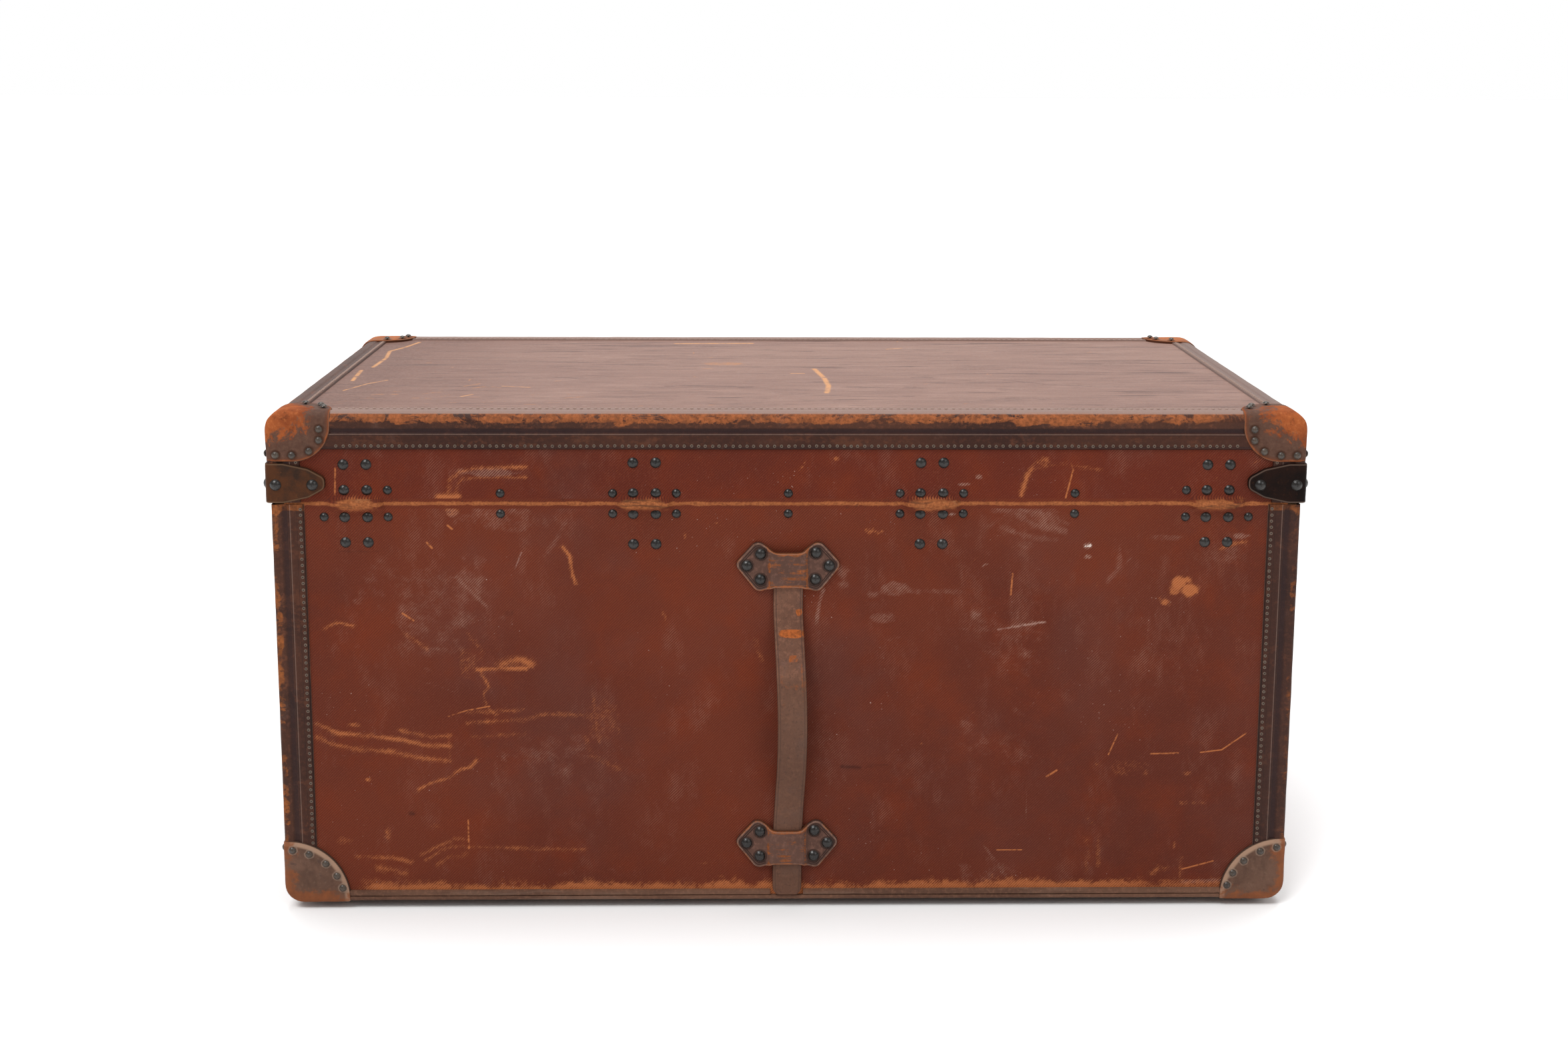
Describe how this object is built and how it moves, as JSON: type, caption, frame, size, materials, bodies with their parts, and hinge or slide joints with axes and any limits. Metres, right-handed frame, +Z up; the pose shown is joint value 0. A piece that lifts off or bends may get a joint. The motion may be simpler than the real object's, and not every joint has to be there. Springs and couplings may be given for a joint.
{
  "type": "travelling trunk",
  "caption": "Canvas-covered wooden travelling trunk with leather edging, corner caps, a lid on concealed hinges, strap handles, a lock and clasps.",
  "frame": {"origin": "on the floor under the middle of the trunk, on the underside of the middle runner", "axes": "+Z up, +X along the trunk, +Y towards the lock side; the hinged back with the upright strap faces -Y"},
  "size_m": [1.1346, 0.6088, 0.5556],
  "materials": {
    "board_wood": "dry planed softwood",
    "runner_wood": "dark worn hardwood",
    "body_canvas": "painted red-brown twill",
    "lid_canvas": "painted canvas, faded",
    "lining_cloth": "plain woven cloth",
    "edging_leather": "dark, worn to tan on the edges",
    "strip_leather": "dry grey-brown",
    "worn_cap_leather": "worn through to suede",
    "grey_cap_leather": "dry, worn at the edge",
    "handle_leather": "dry grey-brown with worn patches",
    "bracket_metal": "dark patina",
    "rivet_metal": "blackened, satin",
    "hinge_steel": "dull",
    "lock_brass": "dark patina"
  },
  "bodies": {
    "body": {"back_board": "board_wood", "back_loop_lower": "handle_leather", "back_loop_upper": "handle_leather", "body_canvas": "body_canvas", "body_cap_back_left": "grey_cap_leather", "body_cap_back_right": "grey_cap_leather", "body_cap_front_left": "grey_cap_leather", "body_cap_front_right": "grey_cap_leather", "body_corner_edging": "edging_leather", "body_lining": "lining_cloth", "bottom_board": "board_wood", "cap_rivets_body": "rivet_metal", "clasp_cases": "lock_brass", "closing_lip": "board_wood", "front_board": "board_wood", "hinge_canvas": "body_canvas", "hinge_leaves_body": "hinge_steel", "hinge_pins": "hinge_steel", "hinge_rivets_body": "rivet_metal", "keyhole_pin": "lock_brass", "left_board": "board_wood", "left_end_loops": "handle_leather", "lock_case": "lock_brass", "lock_rivets_body": "rivet_metal", "loop_rivets": "rivet_metal", "lower_battens": "strip_leather", "lower_strips": "strip_leather", "right_board": "board_wood", "right_end_loops": "handle_leather", "runners": "runner_wood"},
    "lid": {"back_brackets": "bracket_metal", "bracket_rivets": "rivet_metal", "cap_rivets_lid": "rivet_metal", "front_brackets": "bracket_metal", "hasp_hinge_plates": "lock_brass", "hasp_pins": "lock_brass", "hinge_leaves_lid": "hinge_steel", "hinge_rivets_lid": "rivet_metal", "lid_back_rail": "board_wood", "lid_canvas": "lid_canvas", "lid_cap_back_left": "worn_cap_leather", "lid_cap_back_right": "worn_cap_leather", "lid_cap_front_left": "worn_cap_leather", "lid_cap_front_right": "worn_cap_leather", "lid_corner_edging": "edging_leather", "lid_edging": "edging_leather", "lid_front_rail": "board_wood", "lid_left_rail": "board_wood", "lid_lining": "lining_cloth", "lid_right_rail": "board_wood", "lid_top_board": "board_wood", "lock_rivets_lid": "rivet_metal"},
    "back_strap": {"back_strap": "handle_leather"},
    "left_end_strap": {"left_end_strap": "handle_leather"},
    "right_end_strap": {"right_end_strap": "handle_leather"},
    "lock_hasp": {"lock_hasp": "lock_brass"},
    "left_hasp": {"left_hasp": "lock_brass"},
    "right_hasp": {"right_hasp": "lock_brass"},
    "keyhole_cover": {"keyhole_cover": "lock_brass"}
  },
  "joints": [
    {"name": "lid_hinge", "type": "hinge", "parent": "body", "child": "lid", "pos_m": [0, -0.2855, 0.4522], "axis": [1, 0, 0], "range_deg": [0, 100], "deforming": ["hinge_canvas"]},
    {"name": "back_strap_slide", "type": "slide", "parent": "body", "child": "back_strap", "axis": [0, 0, 1], "range_m": [0, 0.006]},
    {"name": "left_strap_slide", "type": "slide", "parent": "body", "child": "left_end_strap", "axis": [0, 1, 0], "range_m": [-0.004, 0.004]},
    {"name": "right_strap_slide", "type": "slide", "parent": "body", "child": "right_end_strap", "axis": [0, 1, 0], "range_m": [-0.004, 0.004]},
    {"name": "lock_hasp_swing", "type": "hinge", "parent": "lid", "child": "lock_hasp", "pos_m": [0, 0.2925, 0.4824], "axis": [1, 0, 0], "range_deg": [0, 150]},
    {"name": "left_hasp_swing", "type": "hinge", "parent": "lid", "child": "left_hasp", "pos_m": [-0.33, 0.2925, 0.4824], "axis": [1, 0, 0], "range_deg": [0, 150]},
    {"name": "right_hasp_swing", "type": "hinge", "parent": "lid", "child": "right_hasp", "pos_m": [0.33, 0.2925, 0.4824], "axis": [1, 0, 0], "range_deg": [0, 150]},
    {"name": "keyhole_cover_swing", "type": "hinge", "parent": "body", "child": "keyhole_cover", "pos_m": [0.024, 0.2937, 0.434], "axis": [0, 1, 0], "range_deg": [-100, 0]}
  ]
}
